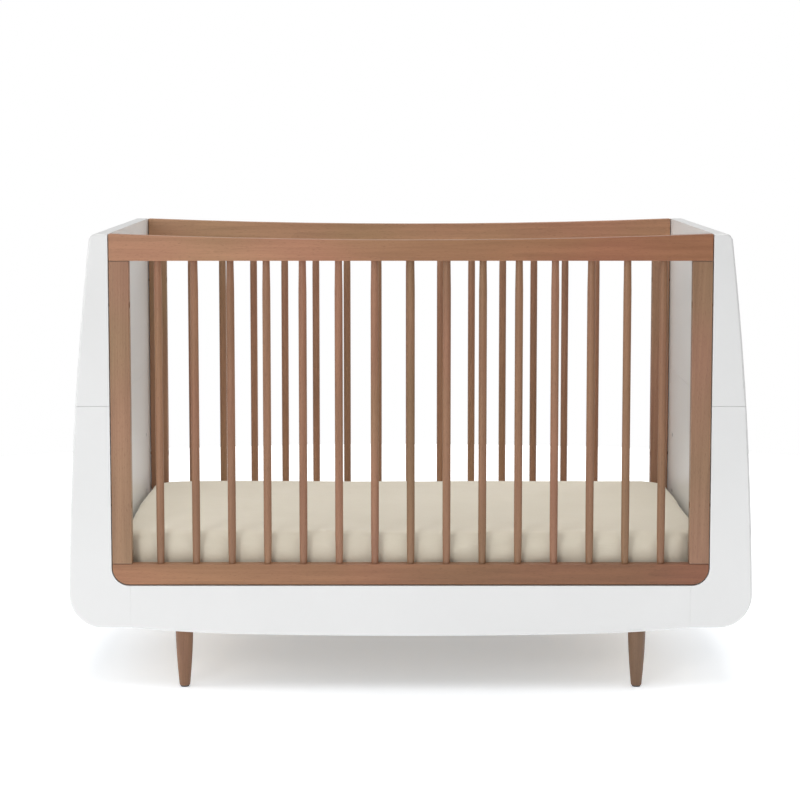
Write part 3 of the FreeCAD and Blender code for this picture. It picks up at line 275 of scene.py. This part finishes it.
cover(stained_wood("spindle_grain", "z", (0.02, 0.1, 0.1), single_spindle,
                   tone_with_painted_light=TONE_AND_PAINTED_LIGHT["spindles"]),
      "front_spindles", "back_spindles")

# --- Legs, bearers, glides ------------------------------------------------------------------
# Four turned and tapered legs in the same stained beech, each on a hanger bolt through a steel
# plate into a planed pine bearer that runs from apron to apron. A nylon glide closes each foot.


def single_leg(here):
    """A different number for every leg, from its quarter of the floor."""
    across = here.node("SeparateXYZ", {}, {0: here})
    deep = here.node("SeparateXYZ", {}, {0: here}, 1)
    return across.math("GREATER_THAN", across, 0.0) + 2.0 * deep.math("GREATER_THAN", deep, 0.0)


cover(stained_wood("leg_grain", "z", (0.41, -0.27, 0.0), single_leg,
                   TONE_AND_PAINTED_LIGHT["legs"]),
      *[f"{depth}_{side}_leg" for depth in ("front", "back") for side in ("left", "right")])

PINE_LIGHT, PINE_DARK, KNOT = (colour(0.73, 0.56, 0.36), colour(0.56, 0.37, 0.19),
                               colour(0.26, 0.12, 0.05))


def planed_pine(name, along, heart):
    """Unfinished planed pine: broad growth rings, knots, and fine planer marks."""
    material, surface, here = new_finish(name)
    stretch = [0.06 if axis == along else 1.0 for axis in "xyz"]
    sway = here.scaled(stretch)
    sway = sway.node("TexNoise", {}, {"Vector": sway, "Scale": 16.0, "Detail": 2.0}, 1)
    place = here.node("Mapping", {}, {"Vector": here, "Location": [-c for c in heart],
                                      "Rotation": (0.02, 0.015, -0.02)})
    bent = place.node("VectorMath", {"operation": "MULTIPLY_ADD"},
                      {0: sway, 1: (0.03, 0.03, 0.03), 2: place})
    rings = bent.node("TexWave", {"wave_type": "RINGS", "rings_direction": along.upper(),
                                  "wave_profile": "SAW"}, {"Vector": bent, "Scale": 70.0})
    late = rings.clamped(0.55, 1.0)
    fibres = here.scaled([0.02 if axis == along else 1.0 for axis in "xyz"]).noise(700.0, 3.0)
    knots = here.node("TexVoronoi", {}, {"Vector": here.scaled(
        [0.7 if axis == along else 1.0 for axis in "xyz"]), "Scale": 5.0})
    knots = 1.0 - knots.clamped(0.045, 0.075)
    wood = (late * 0.7 + fibres * 0.25).mix(PINE_LIGHT, PINE_DARK)
    lay_on(surface, (knots * 0.8).mix(wood, KNOT), 0.58 + fibres * 0.15 - knots * 0.12,
           late * 0.6 + fibres * 0.8, 0.00008)
    return material


cover(planed_pine("bearer_pine", "y", (0.5, 0.1, 0.12)), "left_leg_bearer", "right_leg_bearer")

nylon, surface, here = new_finish("moulded_nylon")
grit = here.noise(1500.0, 2.0)
lay_on(surface, here.noise(90.0).mix(colour(0.075, 0.072, 0.07), colour(0.11, 0.105, 0.10)),
       0.45 + grit * 0.15, grit, 0.00003)
cover(nylon, "leg_glides")

# --- Fittings -------------------------------------------------------------------------------
# Pressed brackets, plates, screws and inserts in bright zinc-plated steel. The bolts that show
# on the posts and hold up the base are blackened.


def plated_steel(name, bright, dull, smooth):
    """Metal with a faint bloom over it and fine drawing marks."""
    material, surface, here = new_finish(name, Metallic=1.0)
    bloom = here.noise(45.0, 4.0, 0.6)
    marks = here.scaled((1.0, 0.08, 1.0)).noise(2600.0, 2.0)
    lay_on(surface, bloom.clamped(0.3, 0.75).mix(bright, dull), smooth + bloom * 0.2 + marks * 0.1,
           marks + bloom * 0.5, 0.00003)
    return material


cover(plated_steel("zinc_plate", colour(0.66, 0.67, 0.69), colour(0.48, 0.49, 0.50), 0.22),
      "apron_joint_plates", "base_hanger_brackets", "base_hanger_screws", "base_height_inserts",
      "end_joining_pins", "frame_screws", "leg_brackets", "leg_hanger_bolts",
      "side_frame_inserts")
cover(plated_steel("black_oxide", colour(0.07, 0.066, 0.065), colour(0.035, 0.034, 0.035), 0.3),
      "side_frame_bolts", "base_support_bolts")

# --- Mattress base --------------------------------------------------------------------------
# A pine frame with a middle rail and fourteen slats, hung from the ends by steel brackets. It
# lifts to three heights, so it rides as one body with the mattress and sheet.

cover(planed_pine("base_long_pine", "x", (0.2, 0.2, 0.13)),
      "base_front_rail", "base_back_rail", "base_middle_rail")
cover(planed_pine("base_end_pine", "y", (0.68, 0.1, 0.13)), "base_left_rail", "base_right_rail")
cover(planed_pine("base_slat_pine", "y", (0.06, 0.2, 0.14)), "base_slats")
cover(planed_pine("dowel_beech", "y", (0.06, 0.2, 0.14)), "wooden_dowels")

# --- Mattress and fitted sheet --------------------------------------------------------------
# A foam mattress in quilted ticking, inside a cream cotton sheet that is pulled over it and
# gathered underneath by elastic. Both take their shape from one stuffed form.

low, high = (Vector(corner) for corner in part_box("fitted_sheet"))
CORNER, EDGE, VOXEL = 0.072, 0.022, 0.010
TOP_HOLD, SWELL_CAP = 0.36, 0.006


def stuffed_form(name, low, high, voxel):
    """A block with round upright corners and soft edges, in even faces ready to be relaxed."""
    form = bmesh.new()
    bmesh.ops.create_cube(form, size=1.0)
    bmesh.ops.scale(form, vec=high - low, verts=form.verts)
    bmesh.ops.translate(form, vec=(low + high) / 2, verts=form.verts)
    upright = [e for e in form.edges if abs(e.verts[0].co.z - e.verts[1].co.z) > 0.01]
    bmesh.ops.bevel(form, geom=upright, offset=CORNER, segments=10, profile=0.5,
                    affect="EDGES", material=-1)
    rims = [e for e in form.edges if abs(e.verts[0].co.z - e.verts[1].co.z) < 0.001]
    bmesh.ops.bevel(form, geom=rims, offset=EDGE, segments=5, profile=0.5, affect="EDGES",
                    material=-1)
    mesh = bpy.data.meshes.new(name)
    form.to_mesh(mesh)
    form.free()
    piece = bpy.data.objects.new(name, mesh)
    bpy.context.scene.collection.objects.link(piece)
    even = piece.modifiers.new("even", "REMESH")
    even.mode, even.voxel_size = "VOXEL", voxel
    piece.data = as_it_stands(piece)
    piece.modifiers.clear()
    return piece


def as_it_stands(piece):
    """The piece's mesh with its modifiers worked in."""
    bpy.context.view_layer.update()
    return bpy.data.meshes.new_from_object(
        piece.evaluated_get(bpy.context.evaluated_depsgraph_get()))


def swell(piece, frames):
    """Lets the cover fill out over its foam: slack cloth under slight pressure, held fast below
    and held a little on top."""
    hold = piece.vertex_groups.new(name="hold")
    slack = piece.vertex_groups.new(name="slack")
    for vert in piece.data.vertices:
        height = (vert.co.z - low.z) / (high.z - low.z)
        top, bottom = max(0.0, height - 0.75) * 4, max(0.0, 0.25 - height) * 4
        side = 1.0 - max(top, bottom)
        hold.add([vert.index], max(bottom, top * TOP_HOLD), "REPLACE")
        patch = 0.5 + noise.noise(vert.co * 9.0)
        slack.add([vert.index], min(1.0, max(0.0, side * patch + top * 0.15)), "REPLACE")
    cloth = piece.modifiers.new("cloth", "CLOTH")
    cloth.point_cache.frame_end = frames
    cloth.collision_settings.use_collision = False
    fabric = cloth.settings
    fabric.use_pressure, fabric.uniform_pressure_force = True, 0.25
    fabric.effector_weights.gravity = 0.0
    fabric.vertex_group_mass, fabric.pin_stiffness = "hold", 0.3
    fabric.vertex_group_shrink, fabric.shrink_min, fabric.shrink_max = "slack", 0.0, -0.10
    fabric.bending_stiffness = 0.3
    for step in range(1, frames + 1):
        bpy.context.scene.frame_set(step)
    relaxed = as_it_stands(piece)
    for vert, settled in zip(piece.data.vertices, relaxed.vertices):
        move = settled.co - vert.co
        if move.length > 0.0:
            vert.co += move.normalized() * SWELL_CAP * math.tanh(move.length / SWELL_CAP)
    piece.modifiers.clear()
    piece.vertex_groups.clear()


PULL_DEEP, DRAPE_DEEP, RIPPLE_DEEP = 0.0038, 0.0022, 0.0018
GATHER_DEEP, GATHER_PITCH = 0.0030, 0.046


def crease(piece):
    """Soft diagonal pulls down the sides, gathers where the elastic draws the cloth under, and
    long shallow ripples on top."""
    shape = bmesh.new()
    shape.from_mesh(piece.data)
    moves = []
    for vert in shape.verts:
        place, facing = vert.co, vert.normal
        height = (place.z - low.z) / (high.z - low.z)
        run = place.x * abs(facing.y) + place.y * abs(facing.x)
        upright = min(1.0, math.hypot(facing.x, facing.y) * 1.3)
        lean = 1.0 if place.x * place.y > 0 else -1.0
        pull = noise.noise((run * 7.5 + lean * height * 1.5, height * 0.8, place.y * 0.7 + 4.0))
        pull = (1.0 - abs(pull) * 2.4) * PULL_DEEP
        drape = noise.noise((run * 19.0 + height * 0.7, 9.0 + height * 0.5, facing.y))
        drape *= DRAPE_DEEP
        uneven = 3 * noise.noise((run * 6.0, 2.0, facing.x))
        gather = math.sin(run * 2 * math.pi / GATHER_PITCH + uneven)
        gather *= GATHER_DEEP * max(0.0, 0.55 - height)
        ripple = noise.noise((place.x * 5.0 + place.y * 3.0, place.y * 11.0, 1.0)) * RIPPLE_DEEP
        below = 0.0 if height < 0.04 else 1.0
        moves.append(facing * below * (upright * (pull + drape + gather)
                                       + max(0.0, facing.z) * ripple))
    for vert, move in zip(shape.verts, moves):
        vert.co += move
    shape.to_mesh(piece.data)
    shape.free()


sheet = stuffed_form("cotton_fitted_sheet", low, high, VOXEL)
swell(sheet, 20)

# The foam lies just inside the sheet. Its ticking is quilted in diamonds, which show beneath.
mattress = sheet.copy()
mattress.name = "foam_mattress"
mattress.data = sheet.data.copy()
bpy.context.scene.collection.objects.link(mattress)
SHEET_GAP, QUILT, CHANNEL, CHANNEL_DEEP = 0.0045, 0.09, 0.010, 0.005
thin = bmesh.new()
thin.from_mesh(mattress.data)
for vert in thin.verts:
    below = max(0.0, -vert.normal.z)
    vert.co -= vert.normal * (SHEET_GAP * (1.0 - below) + 0.0025 * below)
    for way in ((vert.co.x + vert.co.y) / QUILT, (vert.co.x - vert.co.y) / QUILT):
        off = abs(way - round(way)) * QUILT / CHANNEL
        vert.co.z += below * CHANNEL_DEEP * max(0.0, 1.0 - off * 0.7)
thin.to_mesh(mattress.data)
thin.free()

crease(sheet)

# The sheet is open beneath, where the elastic casing gathers its edge.
HEM_IN, CASING, HEM_LAP = 0.06, 0.014, 1.006
HEM_LEVEL, PLEAT = low.z + 0.0013, 0.0004
open_under = bmesh.new()
open_under.from_mesh(sheet.data)
under = [f for f in open_under.faces
         if f.calc_center_median().z < low.z + 0.004
         and abs(f.calc_center_median().x) < high.x - HEM_IN
         and abs(f.calc_center_median().y) < high.y - HEM_IN]
bmesh.ops.delete(open_under, geom=under, context="FACES")
open_under.to_mesh(sheet.data)

rim = [e for e in open_under.edges if e.is_boundary]
reach_x = max(v.co.x for e in rim for v in e.verts) - CASING
reach_y = max(v.co.y for e in rim for v in e.verts) - CASING
grown = bmesh.ops.extrude_edge_only(open_under, edges=rim)["geom"]
new_faces = {f for f in grown if isinstance(f, bmesh.types.BMFace)}
new_verts = {v for v in grown if isinstance(v, bmesh.types.BMVert)}
bmesh.ops.delete(open_under, geom=[f for f in open_under.faces if f not in new_faces],
                 context="FACES")
for vert in open_under.verts:
    pleat = 1 if round((vert.co.x + vert.co.y) / VOXEL) % 2 else -1
    if vert in new_verts:
        vert.co.x = max(-reach_x, min(reach_x, vert.co.x))
        vert.co.y = max(-reach_y, min(reach_y, vert.co.y))
        vert.co.z = HEM_LEVEL + pleat * PLEAT
    else:
        vert.co.x *= HEM_LAP
        vert.co.y *= HEM_LAP
        vert.co.z = HEM_LEVEL
bmesh.ops.recalc_face_normals(open_under, faces=open_under.faces)
hem_mesh = bpy.data.meshes.new("sheet_elastic_hem")
open_under.to_mesh(hem_mesh)
open_under.free()
hem = bpy.data.objects.new("sheet_elastic_hem", hem_mesh)
bpy.context.scene.collection.objects.link(hem)
casing = hem.modifiers.new("casing", "SOLIDIFY")
casing.thickness, casing.offset = 0.0016, 0.0

# A narrow felled seam closes the sheet at each corner, between its upper and lower edges.
SEAM_WIDE, SEAM_THICK, SEAM_IN = 0.0045, 0.0022, 0.0007
SEAM_PAST_EDGE, RAY_START = 0.012, 0.2
sheet_skin = bmesh.new()
sheet_skin.from_mesh(sheet.data)
skin_tree = BVHTree.FromBMesh(sheet_skin)
sheet_skin.free()
seams = bmesh.new()
for side_x in (-1, 1):
    for side_y in (-1, 1):
        strip = bmesh.ops.create_cube(seams, size=1.0)["verts"]
        tall = high.z - low.z - 2 * EDGE + SEAM_PAST_EDGE
        bmesh.ops.scale(seams, vec=(SEAM_WIDE, SEAM_THICK, tall), verts=strip)
        long_edges = list({e for v in strip for e in v.link_edges
                           if abs(e.verts[0].co.z - e.verts[1].co.z) > 0.01})
        bmesh.ops.subdivide_edges(seams, edges=long_edges, cuts=11)
        strip = [v for v in seams.verts if not v.tag]
        outward = Vector((side_x, side_y, 0.0)).normalized()
        across = Vector((-outward.y, outward.x, 0.0))
        centre = Vector((side_x * (high.x - CORNER), side_y * (high.y - CORNER), 0.0))
        for vert in strip:
            level = (low.z + high.z) / 2 + vert.co.z
            start = centre + outward * RAY_START + across * vert.co.x
            start.z = level
            hit = skin_tree.ray_cast(start, -outward)[0]
            vert.co = hit + outward * (vert.co.y - SEAM_IN + SEAM_THICK / 2)
            vert.tag = True
bmesh.ops.recalc_face_normals(seams, faces=seams.faces)
seam_mesh = bpy.data.meshes.new("sheet_corner_seams")
seams.to_mesh(seam_mesh)
seams.free()
corner_seams = bpy.data.objects.new("sheet_corner_seams", seam_mesh)
bpy.context.scene.collection.objects.link(corner_seams)

for piece in (sheet, mattress, hem, corner_seams):
    piece.data.shade_smooth()
    finer = piece.modifiers.new("finer", "SUBSURF")
    finer.levels = finer.render_levels = 1

THREAD = 0.0008


def woven(here, period):
    """Threads along all three axes, of which any face shows the two that lie in it."""
    scale = 2 * math.pi / (20 * period)
    return sum((here.node("TexWave", {"bands_direction": axis},
                          {"Vector": here, "Scale": scale, "Distortion": 0.4, "Detail": 0.0})
                for axis in "XYZ"), 0.0) * 0.33


cotton, surface, here = new_finish("cream_cotton", Sheen_Weight=0.25, Sheen_Roughness=0.5)
slub = here.scaled((1.0, 0.05, 1.0)).noise(900.0) + here.scaled((0.05, 1.0, 1.0)).noise(900.0)
threads = woven(here, THREAD)
faded = here.noise(6.0, 3.0).clamped(0.35, 0.7)
lay_on(surface, (slub * 0.35 + threads * 0.15 + faded * 0.2).mix(
    colour(0.83, 0.775, 0.645), colour(0.73, 0.67, 0.535)),
       0.82 + slub * 0.05, slub * 0.6 + threads * 1.2 + here.noise(60.0, 3.0) * 1.5, 0.00012)
ticking, surface, here = new_finish("quilted_ticking", Sheen_Weight=0.15)
threads = woven(here, THREAD * 1.6)
fuzz = here.noise(700.0)
lay_on(surface, (threads * 0.5 + fuzz * 0.5).mix(colour(0.86, 0.85, 0.82),
                                                colour(0.74, 0.73, 0.70)),
       0.8 + fuzz * 0.05, threads + fuzz * 0.4 + here.noise(40.0) * 3.0, 0.0002)
for piece, cloth in ((sheet, cotton), (hem, cotton), (corner_seams, cotton), (mattress, ticking)):
    piece.data.materials.clear()
    piece.data.materials.append(cloth)
    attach(piece, "mattress_base")

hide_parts("fitted_sheet")
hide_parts("mattress")

# --- Floor, light and camera ----------------------------------------------------------------
# A white studio floor that glows more away from the cot, a surround that only the camera sees,
# six broad soft lights, two of them from the front left, and a long lens.

scene = bpy.context.scene
scene.view_settings.view_transform = "Standard"


def studio_piece(name, shape, material):
    """A mesh of the studio's own, which isn't part of the cot."""
    mesh = bpy.data.meshes.new(name)
    shape.to_mesh(mesh)
    shape.free()
    mesh.materials.append(material)
    piece = bpy.data.objects.new(name, mesh)
    scene.collection.objects.link(piece)
    return piece


FLOOR_REACH = 3.2
paper, surface, here = new_finish("studio_paper_with_painted_glow", Emission_Strength=1.0)
fleck = here.noise(35.0)
oval = here.scaled((1.0, 1.7, 0.0))
oval = oval.node("VectorMath", {"operation": "LENGTH"}, {0: oval}, 1)
away = here.node("VectorMath", {"operation": "LENGTH"}, {0: here}, 1)
# Painted light: the floor's glow is dim and bluish under the cot and brighter away from it, so the
# cot's shadow is painted as a short soft patch that fades quickly to white, with no lamp making
# it.
glow = oval.clamped(0.22, 1.18).mix(colour(0.185, 0.225, 0.27), colour(0.56, 0.58, 0.60))
glow = away.clamped(1.6, FLOOR_REACH).mix(glow, colour(0.8, 0.8, 0.8))
lay_on(surface, fleck.mix(colour(0.90, 0.90, 0.90), colour(0.88, 0.88, 0.88)), 0.8 + fleck * 0.1,
       fleck, 0.0001)
glow.tree.links.new(glow.socket, surface.inputs["Emission Color"])
ground = bmesh.new()
bmesh.ops.create_circle(ground, cap_ends=True, segments=96, radius=FLOOR_REACH)
bmesh.ops.translate(ground, vec=(0, 0, cad_box[0][2] - 0.0003), verts=ground.verts)
studio_piece("studio_floor", ground, paper)

white, surface, here = new_finish("white_surround", Emission_Color=colour(1.0, 1.0, 1.0),
                                  Emission_Strength=1.0, Base_Color=colour(0.0, 0.0, 0.0),
                                  Specular_IOR_Level=0.0)
dome = bmesh.new()
bmesh.ops.create_icosphere(dome, subdivisions=4, radius=14.0)
surround = studio_piece("white_surround", dome, white)
surround.visible_diffuse = surround.visible_glossy = surround.visible_shadow = False

world = bpy.data.worlds.new("studio_air")
scene.world = world
world.use_nodes = True
world.node_tree.nodes["Background"].inputs["Color"].default_value = (1.0, 1.0, 1.0, 1.0)
world.node_tree.nodes["Background"].inputs["Strength"].default_value = 0.24


def soft_light(name, place, aim, size, power):
    lamp = bpy.data.lights.new(name, "AREA")
    lamp.shape, lamp.size, lamp.energy = "DISK", size, power
    holder = bpy.data.objects.new(name, lamp)
    holder.location = place
    holder.rotation_euler = (Vector(place) - Vector(aim)).to_track_quat("Z", "Y").to_euler()
    scene.collection.objects.link(holder)


soft_light("key_light", (-2.1, -5.2, 1.9), (0.0, 0.0, 0.5), 1.8, 57.0)
soft_light("side_light", (-4.6, -0.8, 1.8), (0.0, 0.0, 0.5), 2.0, 50.0)
soft_light("front_top_light", (0.0, -1.8, 4.0), (0.0, 0.0, 0.0), 3.0, 56.0)
soft_light("back_top_light", (0.2, 1.6, 3.8), (0.0, 0.0, 0.0), 3.0, 60.0)
soft_light("back_right_light", (3.2, 2.6, 2.2), (0.0, 0.0, 0.5), 2.0, 45.0)
soft_light("back_left_light", (-3.2, 2.6, 2.2), (0.0, 0.0, 0.5), 2.0, 12.0)

lens = bpy.data.cameras.new("camera")
lens.lens, lens.sensor_width, lens.shift_y = 100.7, 36.0, -0.06
camera = bpy.data.objects.new("camera", lens)
camera.location = (-0.0218, -4.871, 1.1617)
camera.rotation_euler = (math.radians(90 - 5.84), 0.0, 0.0)
scene.collection.objects.link(camera)
scene.camera = camera
